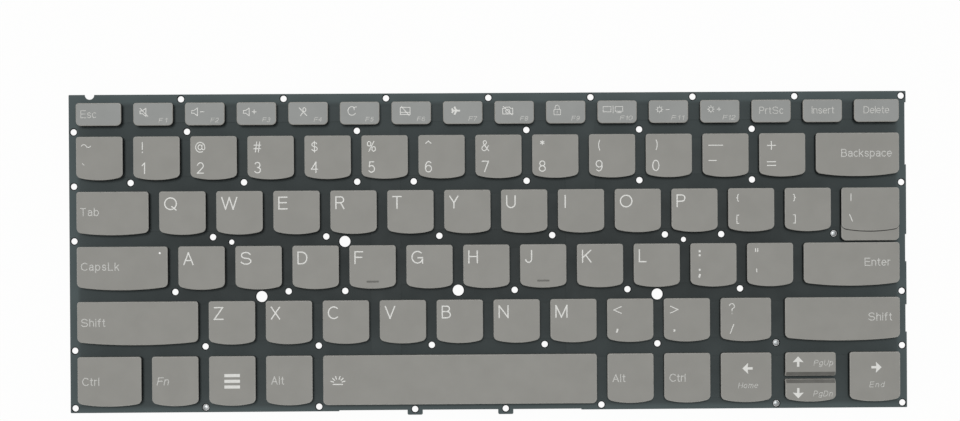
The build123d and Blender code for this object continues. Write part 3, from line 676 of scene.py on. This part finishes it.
# glyphs on a 10 unit cap height: points, or arcs as centre, radii and two angles
glyphs = {
    "A": "0,0 3.9,10 7.8,0; 1.4,3.4 6.4,3.4",
    "B": "0,5.4 3.6,5.4 3.6,7.7,2.6,2.3,-90,90 0,10 0,0 4,0 4,2.7,2.9,2.7,-90,90 3.6,5.4",
    "C": "4.6,5,4.6,5,48,312",
    "D": "0,0 0,10 3,10 3,5,4.6,5,90,-90 0,0",
    "E": "7,0 0,0 0,10 6.8,10; 0,5.3 6.3,5.3",
    "F": "0,0 0,10 6.5,10; 0,5.2 5.8,5.2",
    "G": "4.7,5,4.7,5,48,340 9.1,4.6 5.2,4.6; 9.1,4.6 9.1,0",
    "H": "0,0 0,10; 7.2,0 7.2,10; 0,5.3 7.2,5.3",
    "I": "1.4,0 1.4,10",
    "J": "5,10 5,2.7 2.5,2.7,2.5,2.7,0,-170",
    "K": "0,0 0,10; 7,10 0,3.6; 2.6,6 7.2,0",
    "L": "0,10 0,0 5.6,0",
    "M": "0,0 0,10 4.7,0 9.4,10 9.4,0",
    "N": "0,0 0,10 7.6,0 7.6,10",
    "O": "5,5,5,5,90,450",
    "P": "0,0 0,10 4,10 4,7.3,2.7,2.7,90,-90 0,4.6",
    "Q": "5,5,5,5,90,450; 6.2,2.4 9.6,-0.4",
    "R": "0,0 0,10 4.2,10 4.2,7.5,2.5,2.5,90,-90 0,5; 4,5 6.8,0",
    "S": "4.2,7.5,3.8,2.5,20,270 4.3,2.5,4.2,2.5,90,-160",
    "T": "0,10 7,10; 3.5,10 3.5,0",
    "U": "0,10 0,3.6 3.6,3.6,3.6,3.6,180,360 7.2,10",
    "V": "0,10 4,0 8,10",
    "W": "0,10 3.2,0 6.4,10 9.6,0 12.8,10",
    "X": "0,0 7,10; 0,10 7,0",
    "Y": "0,10 3.5,4.4 7,10; 3.5,4.4 3.5,0",
    "Z": "0.2,10 7.2,10 0,0 7.4,0",
    "0": "3,5,3,5,90,450",
    "1": "0.3,7.6 2.6,10 2.6,0",
    "2": "3,7.1,2.8,2.9,170,-40 0,0 5.9,0",
    "3": "2.9,7.6,2.5,2.4,150,-90; 2.9,2.6,2.9,2.6,90,-150",
    "4": "4.4,0 4.4,10 0,3.2 6,3.2",
    "5": "5.2,10 1.3,10 0.8,5.4 2.9,3.2,2.9,3.2,130,-145",
    "6": "3,3.1,2.9,3.1,90,450; 3.2,5,3.1,5,50,200",
    "7": "0,10 6,10 2.2,0",
    "8": "3,7.6,2.4,2.4,90,450; 3,2.6,2.9,2.6,90,450",
    "9": "3,6.9,2.9,3.1,90,450; 2.8,5,3.1,5,-130,20",
    "!": "0,10 0,3.2; 0,0.4 0,0",
    "@": "4.6,5,4.6,5,0,300; 4.4,5,2,2.4,90,450; 6.5,7.2 6.3,4.2 7.8,4,1.45,1.5,180,360 9.2,5",
    "#": "1.6,0 2.9,10; 4.6,0 5.9,10; 0.3,6.8 7,6.8; 0,3.2 6.7,3.2",
    "$": "2.9,7.1,2.5,2.1,20,270 3,2.9,2.8,2.1,90,-160; 2.95,10.4 2.95,-0.4",
    "%": "1.8,7.6,1.8,2.3,90,450; 6.4,2.4,1.8,2.3,90,450; 6.6,10 1.6,0",
    "^": "0,7.8 2.7,10 5.4,7.8",
    "&": "7,0 1.8,6.9 3.1,8.2,1.6,1.8,215,-45 1.2,4.4 2.5,2.4,2.4,2.4,140,320 6.6,4.8",
    "*": "2,10 2,6; 0.3,9 3.7,7; 0.3,7 3.7,9",
    "(": "3.4,5,3,6.2,130,230",
    ")": "0,5,3,6.2,50,-50",
    "_": "0,5 13.5,5",
    "-": "0,5 7,5",
    "+": "0,5 7.6,5; 3.8,1.2 3.8,8.8",
    "=": "0,6.6 7.6,6.6; 0,3.2 7.6,3.2",
    "{": "2.8,10 2.8,8.6,1.4,1.4,90,180 1.4,6.2 0,5 1.4,3.8 2.8,1.4,1.4,1.4,180,270",
    "}": "0,10 0,8.6,1.4,1.4,90,0 1.4,6.2 2.8,5 1.4,3.8 0,1.4,1.4,1.4,0,-90",
    "[": "2.2,10 0,10 0,0 2.2,0",
    "]": "0,10 2.2,10 2.2,0 0,0",
    "|": "0,10 0,0",
    "\\": "0,10 4,0",
    "/": "0,0 4,10",
    ":": "0,6.2 0,6; 0,1.6 0,1.4",
    ";": "0,6.8 0,6.6; 0.1,1.2 0,0.4 -0.5,-1",
    "\"": "0,10 0,7.2; 2.2,10 2.2,7.2",
    "'": "0,10 0,7.2",
    "<": "7.6,8.4 0,5 7.6,1.6",
    ">": "0,8.4 7.6,5 0,1.6",
    ",": "0.3,1.5 0.3,0.7 -0.4,-0.9",
    ".": "0,0.6 0,0.1",
    "?": "2.6,7.4,2.6,2.6,165,-30 2.7,4.6 2.7,2.8; 2.7,0.4 2.7,0",
    "~": "2.2,5,2.2,1.3,180,0 6.6,5,2.2,1.3,180,360",
    "`": "0,10 1.6,8.4",
    "a": "2.6,5.2,2.4,2.1,155,0 5,0; 5,4.4 2.2,4.2 2.2,2.1,2.1,2.1,90,270 5,1.6",
    "b": "0,10 0,0; 2.9,3.6,2.9,3.6,180,540",
    "c": "2.9,3.6,2.9,3.6,50,310",
    "d": "5.8,10 5.8,0; 2.9,3.6,2.9,3.6,0,360",
    "e": "0.1,3.7 5.8,3.7 2.9,3.6,2.9,3.6,0,310",
    "f": "3.2,10 2.9,8.4,1.6,1.6,90,180 1.3,0; 0,7 3,7",
    "g": "5.6,7.2 5.6,-0.4 2.9,-0.2,2.7,2.5,0,-160; 2.8,3.7,2.8,3.5,0,360",
    "h": "0,10 0,0; 0,4.4 2.6,4.6,2.6,2.6,170,0 5.2,0",
    "i": "0,7.2 0,0; 0,9.8 0,9.4",
    "k": "0,10 0,0; 4.8,7.2 0,2.8; 1.8,4.4 5,0",
    "l": "0,10 0,0",
    "m": "0,7.2 0,0; 0,4.8 2.1,5,2.1,2.2,170,0 4.2,0; 4.2,4.8 6.3,5,2.1,2.2,170,0 8.4,0",
    "n": "0,7.2 0,0; 0,4.6 2.6,4.6,2.6,2.6,170,0 5.2,0",
    "o": "3,3.6,3,3.6,90,450",
    "p": "0,7.2 0,-2.8; 2.9,3.6,2.9,3.6,180,540",
    "r": "0,7.2 0,0; 0,4.4 2.4,4.6,2.4,2.6,170,80",
    "s": "2.4,5.4,2.1,1.8,20,270 2.5,1.8,2.3,1.8,90,-160",
    "t": "1.4,9.4 1.4,1.6 2.8,1.6,1.4,1.6,180,280; 0,7 3,7",
    "u": "0,7.2 0,2.6 2.6,2.6,2.6,2.6,180,360 5.2,7.2; 5.2,2.6 5.2,0",
    "sound off": SPEAKER + "; 0,10 9.6,0",
    "sound down": SPEAKER + "; 11.4,5 15.6,5",
    "sound up": SPEAKER + "; 11.4,5 16.4,5; 13.9,2.6 13.9,7.4",
    "microphone off": "2,0.4 5.6,5.2; 6.6,7.4,1.7,2.4,0,360; 0.6,9.6 9.4,0.4",
    "refresh": "4.7,5,4.7,5,58,325; 7.2,6.2 7.1,9.2 9.8,9.6",
    "touchpad off": "0,1 0,9 11,9 11,1 0,1; 0,3.4 11,3.4; 1.2,10 10,0",
    "plane": "0.4,5 9.8,5; 5.8,5 3.4,10; 5.8,5 3.4,0; 1.4,5 0,7.4; 1.4,5 0,2.6",
    "camera off": "0,1.2 0,7.8 2.4,7.8 3.4,9.2 7.2,9.2 8.2,7.8 10.6,7.8 10.6,1.2 0,1.2; "
                  "5.3,4.4,2.2,2.2,0,360; 0.6,9.9 10,0.1",
    "lock": "0.4,0 0.4,5.4 7,5.4 7,0 0.4,0; 1.6,5.4 1.6,7.4 3.7,7.4,2.1,2.4,180,0 5.8,5.4; 3.7,3.4 3.7,1.8",
    "display": "0,2 0,8.6 6.6,8.6 6.6,2 0,2; 8.4,9.4 8.4,0.6; 10.2,2.6 10.2,8.6 16.6,8.6 16.6,2.6 10.2,2.6; "
               "13.4,2.6 13.4,0.8; 11.4,0.8 15.4,0.8",
    "dimmer": SUN + "; 13,5 17,5",
    "brighter": SUN + "; 12.6,5 17.4,5; 15,2.8 15,7.2",
    "key light": "2.7,0.4 10.5,0.4; 2.7,3 0.6,3.8; 3.7,5 2.2,6.8; 5.4,6.2 4.7,8.6; 7.8,6.2 8.5,8.6; "
                 "9.5,5 11,6.8; 10.5,3 12.6,3.8",
}


def strokes_of(glyph):
    """Pen strokes of a glyph, with its arcs divided into short runs."""
    strokes = []
    for part in glyphs[glyph].split(";"):
        stroke = []
        for item in part.split():
            numbers = [float(n) for n in item.split(",")]
            if len(numbers) == 2:
                stroke.append(Vector(numbers))
                continue
            x, y, across, up, start, end = numbers
            steps = max(3, round(abs(end - start) / ARC_STEP))
            for i in range(steps + 1):
                turn = radians(start + (end - start) * i / steps)
                stroke.append(Vector((x + across * cos(turn), y + up * sin(turn))))
        strokes.append(stroke)
    return strokes


def runs_of(stroke, pen):
    """Smooth runs of a stroke: it is split at its sharp turns, and each end goes half a pen further."""
    stroke = [p for i, p in enumerate(stroke) if i == 0 or (p - stroke[i - 1]).length > NEAR]
    turns = [i for i in range(1, len(stroke) - 1)
             if (stroke[i] - stroke[i - 1]).angle(stroke[i + 1] - stroke[i]) > radians(STROKE_TURN)]
    # a ring stays one closed run
    if len(stroke) > 8 and not turns and (stroke[0] - stroke[-1]).length < 0.05:
        return [(stroke[:-1], True)]
    runs = []
    stops = [0] + turns + [len(stroke) - 1]
    for first, last in zip(stops, stops[1:]):
        run = [p.copy() for p in stroke[first:last + 1]]
        run[0] += (run[0] - run[1]).normalized() * pen / 2
        run[-1] += (run[-1] - run[-2]).normalized() * pen / 2
        runs.append((run, False))
    return runs


# pale pad-printing ink: a thin matte film, a little uneven
pale_ink, shader = finish_of("pale pad-printing ink", "#dededa", 0.6, 0.3)
blotches(pale_ink, shader, 0.8, "#d9d9d5", "#e3e3df")
# the words' ink is put on thinner, so the grey paint shows through it
thin_ink, shader = finish_of("thin pad-printing ink", "#c4c4c0", 0.6, 0.3)
blotches(thin_ink, shader, 0.8, "#bfbfbb", "#c9c9c5")


def mark(name, text, x, base, height, align="left", pen=PEN, slant=0.0, width=None, stretch=1.0,
         ink=pale_ink):
    """Strokes of a line of text on a key: x is where its left, middle or right lies, base where its foot."""
    scale = (height - pen) / 10
    drawn, reach = [], 0.0
    shapes = [strokes_of(glyph) for glyph in text]
    widths = [max(p.x for s in shape for p in s) * scale * stretch for shape in shapes]
    space = LETTER_SPACE * height
    if width and len(text) > 1:
        space = (width - sum(widths) - pen * len(text)) / (len(text) - 1)
    for shape, wide in zip(shapes, widths):
        for stroke in shape:
            drawn.append([Vector((reach + pen / 2 + (p.x * stretch + slant * p.y) * scale,
                                  pen / 2 + p.y * scale)) for p in stroke])
        reach += wide + pen + space
    reach -= space
    start = x - {"left": 0.0, "middle": reach / 2, "right": reach}[align]
    left, rear = keys[name][:2]
    for stroke in drawn:
        for run, closed in runs_of(stroke, pen):
            places = [spot(left + start + p.x, rear + base - p.y) for p in run]
            legends.setdefault((name, ink), []).append((places, closed, pen))


legends = {}
for name in "qwertyuiopasdfghjklzxcvbnm":
    mark(name, name.upper(), 1.7, 6.25, 4.3)
for name, sign in zip("1234567890", "!@#$%^&*()"):
    mark(name, name, 3.35, 12.5, 3.8, "middle", DIGIT_PEN)
    mark(name, sign, 3.1 if sign == "!" else 3.35, 5.5, 3.6, "middle", SHIFTED_PEN)
# the sign keys: each sign's place along x, foot, height, alignment and pen
for row in (("grave", "~", 3.4, 4.9, 3.6, "middle", 0.25), ("grave", "`", 2.4, 12.4, 3.6, "middle", 0.2),
            ("minus", "_", 2.0, 5.8, 3.7, "left", 0.3), ("minus", "-", 2.0, 10.9, 3.7, "left", 0.3),
            ("equals", "+", 4.1, 6.0, 3.8, "middle", 0.32), ("equals", "=", 4.1, 12.1, 3.9, "middle", 0.32),
            ("left_bracket", "{", 3.2, 4.5, 2.5, "middle", 0.27),
            ("left_bracket", "[", 3.2, 11.9, 3.0, "middle", 0.27),
            ("right_bracket", "}", 3.2, 4.5, 2.5, "middle", 0.27),
            ("right_bracket", "]", 3.2, 11.9, 3.0, "middle", 0.27),
            ("backslash", "|", 3.2, 4.5, 2.5, "middle", 0.27),
            ("backslash", "\\", 3.2, 11.4, 2.5, "middle", 0.27),
            ("semicolon", ":", 3.1, 4.8, 3.6, "middle", 0.64),
            ("semicolon", ";", 3.1, 11.2, 3.6, "middle", 0.58),
            ("quote", "\"", 3.2, 5.4, 3.6, "middle", 0.32), ("quote", "'", 3.2, 12.2, 3.6, "middle", 0.32),
            ("comma", "<", 3.5, 5.6, 3.6, "middle", 0.26), ("comma", ",", 3.4, 11.1, 3.6, "middle", 0.56),
            ("period", ">", 3.5, 5.6, 3.6, "middle", 0.28), ("period", ".", 3.5, 11.2, 3.6, "middle", 0.6),
            ("slash", "?", 3.8, 5.4, 3.6, "middle", 0.26), ("slash", "/", 3.8, 12.0, 3.2, "middle", 0.28)):
    mark(*row)
# the words: each one's place along x, foot, height, alignment and width
for name, word, x, base, height, align, wide in (
        ("tab", "Tab", 1.3, 8.1, 2.7, "left", 6.2),
        ("caps_lock", "CapsLk", 1.4, 7.95, 2.7, "left", 12.7),
        ("left_shift", "Shift", 1.3, 8.3, 2.7, "left", 8.1),
        ("left_control", "Ctrl", 1.55, 9.6, 2.7, "left", 5.7),
        ("left_alt", "Alt", 1.7, 9.6, 2.7, "left", 4.3),
        ("right_alt", "Alt", 1.7, 9.6, 2.7, "left", 4.3),
        ("right_control", "Ctrl", 1.75, 9.6, 2.7, "left", 5.4),
        ("backspace", "Backspace", 25.5, 8.1, 2.7, "right", 17.0),
        ("enter", "Enter", 29.1, 7.9, 2.7, "right", 8.7),
        ("right_shift", "Shift", 35.9, 7.9, 2.7, "right", 8.0),
        ("escape", "Esc", 1.6, 5.0, 2.6, "left", 5.2),
        ("print", "PrtSc", 6.6, 4.75, 2.4, "middle", 8.0),
        ("insert", "Insert", 6.6, 4.75, 2.4, "middle", 7.8),
        ("delete", "Delete", 7.5, 4.75, 2.4, "middle", 8.6)):
    pen = REAR_WORD_PEN if name in rear_row else WORD_PEN
    mark(name, word, x, base, height, align, pen, width=wide, ink=thin_ink)
mark("function", "Fn", 1.6, 9.6, 2.7, "left", WORD_PEN, SLANT, ink=thin_ink)
# the signs from F1 to F12: each one's left, foot, height and pen in mm, and how much wider it is drawn
rear_signs = {
    "sound off": (2.2, 4.6, 2.9, 0.24, 1.0),
    "sound down": (2.2, 4.5, 2.8, 0.24, 1.0),
    "sound up": (2.2, 4.6, 2.8, 0.24, 1.0),
    "microphone off": (3.4, 4.8, 3.1, 0.26, 1.0),
    "refresh": (2.6, 4.6, 3.1, 0.24, 1.0),
    "touchpad off": (2.85, 4.75, 3.2, 0.24, 1.0),
    "plane": (2.85, 4.5, 2.7, 0.56, 1.1),
    "camera off": (2.65, 4.8, 3.1, 0.24, 1.1),
    "lock": (2.45, 4.8, 3.5, 0.18, 1.0),
    "display": (1.85, 4.4, 2.8, 0.17, 1.5),
    "dimmer": (2.3, 4.5, 2.8, 0.18, 1.0),
    "brighter": (2.3, 4.5, 2.8, 0.18, 1.0),
}
for number, (sign, (x, base, height, pen, stretch)) in enumerate(rear_signs.items(), 1):
    mark(f"f{number}", [sign], x, base, height, pen=pen, stretch=stretch)
    # the number's right end and width, and how much wider its digits are drawn
    end, wide, stretch = (11.1, 2.6, 1.2) if number < 10 else (11.6, 4.1, 1.45)
    mark(f"f{number}", f"F{number}", end, 6.6, 1.5, "right", NUMBER_PEN, SLANT, wide, stretch, thin_ink)
for name, word, x, base, align, wide in (
        ("arrow_left", "Home", 9.0, 11.9, "middle", 6.6), ("arrow_right", "End", 9.0, 11.9, "middle", 4.9),
        ("arrow_up", "PgUp", 9.5, 4.5, "left", 6.4), ("arrow_down", "PgDn", 9.3, 5.9, "left", 6.4)):
    mark(name, word, x, base, 1.9, align, ARROW_WORD_PEN, SLANT, wide, ink=thin_ink)
mark("space", ["key light"], 4.8, 10.0, 3.5, "middle", 0.36, stretch=1.22)

for (name, ink), drawn in legends.items():
    mesh = swept(drawn, 0.5, 0, upright=True, smooth=False)
    paint_top = Matrix.Translation((0, 0, KEY_TOP + LIFT / 2))
    mesh.transform(paint_top @ Matrix.Diagonal((1, 1, STROKE_FLAT, 1)))
    seat(f"legend_{name}", mesh, [ink], f"key_{name}" if name in moving else "deck", "key_plastic")

# the arrows and the menu sign are solid ink
barb = [(1.8, 0), (-0.15, 1.85), (0.0, 0.4), (-1.65, 0.4), (-1.65, -0.4), (0.0, -0.4), (-0.15, -1.85)]
for name, x, y, turn in (("arrow_left", 9.0, 5.3, 180), ("arrow_right", 8.9, 5.2, 0),
                         ("arrow_up", 4.3, 3.2, 90), ("arrow_down", 4.3, 4.7, -90)):
    bm = bmesh.new()
    bm.faces.new([bm.verts.new((*point, 0)) for point in barb])
    thicken(bm, bm.faces[:], LIFT)
    bmesh.ops.rotate(bm, verts=bm.verts, cent=(0, 0, 0), matrix=Matrix.Rotation(radians(turn), 3, "Z"))
    left, rear = keys[name][:2]
    bmesh.ops.translate(bm, vec=spot(left + x, rear + y, KEY_TOP), verts=bm.verts)
    crease(bm)
    seat(f"sign_{name}", mesh_of("sign", bm), [pale_ink], "deck", "key_plastic")
bm = bmesh.new()
left, rear = keys["system"][:2]
for row in (-MENU_ROW, 0.0, MENU_ROW):
    place = Matrix.Translation(spot(left + MENU_X, rear + MENU_Y + row, KEY_TOP))
    bmesh.ops.create_grid(bm, x_segments=1, y_segments=1, size=1.0,
                          matrix=place @ Matrix.Diagonal((*MENU_BAR, 1, 1)))
thicken(bm, bm.faces[:], LIFT)
crease(bm)
seat("sign_system", mesh_of("sign", bm), [pale_ink], "deck", "key_plastic")


# Floor: a white sheet of paper on which the module lies loose. It looks white to the camera and in shiny
# things, and it keeps the module's soft shadow.

PAPER_GLOW = 0.9                       # share of plain white in what the camera sees of it

# white paper: bright, even and quite matte
paper, shader = finish_of("white paper", "#fafaf8", 0.9, 0.1)
path = add_node(paper, "ShaderNodeLightPath")
seen = path.outputs["Is Camera Ray"]
for ray in ("Is Glossy Ray", "Is Transmission Ray"):
    seen = add_node(paper, "ShaderNodeMath", {0: seen, 1: path.outputs[ray]}, operation="ADD").outputs[0]
share = add_node(paper, "ShaderNodeMath", {0: seen, 1: PAPER_GLOW}, operation="MULTIPLY", use_clamp=True)
glow = add_node(paper, "ShaderNodeEmission", {"Color": srgb("#ffffff"), "Strength": 1.0})
blend = add_node(paper, "ShaderNodeMixShader",
                 {0: share.outputs[0], 1: shader.outputs["BSDF"], 2: glow.outputs["Emission"]})
paper.node_tree.links.new(blend.outputs[0], paper.node_tree.nodes["Material Output"].inputs["Surface"])
bm = bmesh.new()
bmesh.ops.create_grid(bm, x_segments=1, y_segments=1, size=20.0, matrix=Matrix.Translation((0, 0, -0.0001)))
sheet = mesh_of("paper", bm)
sheet.materials.append(paper)
floor = bpy.data.objects.new("paper", sheet)
bpy.context.scene.collection.objects.link(floor)


# Light: an even white room, and a large soft lamp three metres overhead, a little to the rear left. The caps'
# rounded edges get their lighter line from a painted highlight.

room = bpy.data.worlds.new("room")
room.use_nodes = True
room.node_tree.nodes["Background"].inputs["Color"].default_value = srgb("#ffffff")
room.node_tree.nodes["Background"].inputs["Strength"].default_value = 0.42
bpy.context.scene.world = room
lamp_place = Vector((-0.2, 0.45, 3.0))
lamp = bpy.data.lights.new("softbox", "AREA")
lamp.shape = "SQUARE"
lamp.size = 0.8
lamp.energy = 47.0
softbox = bpy.data.objects.new("softbox", lamp)
softbox.location = lamp_place
softbox.rotation_euler = lamp_place.to_track_quat("Z", "Y").to_euler()
bpy.context.scene.collection.objects.link(softbox)


# Camera: straight above, as in the photograph, about half a metre away. It is turned by less than a degree,
# and its frame is shifted, because the module lies below the picture's middle.

DISTANCE = 0.520
TILT = -0.208, -0.627, -0.352          # in degrees

lens = bpy.data.cameras.new("camera")
lens.sensor_width = 36.0
lens.lens = 58.13
lens.shift_x = -0.00968
lens.shift_y = 0.04678
camera = bpy.data.objects.new("camera", lens)
camera.rotation_euler = Euler([radians(a) for a in TILT])
camera.location = Vector((0, -0.0006, 0.002)) + camera.rotation_euler.to_matrix() @ Vector((0, 0, DISTANCE))
bpy.context.scene.collection.objects.link(camera)
bpy.context.scene.camera = camera
bpy.context.scene.view_settings.view_transform = "Standard"
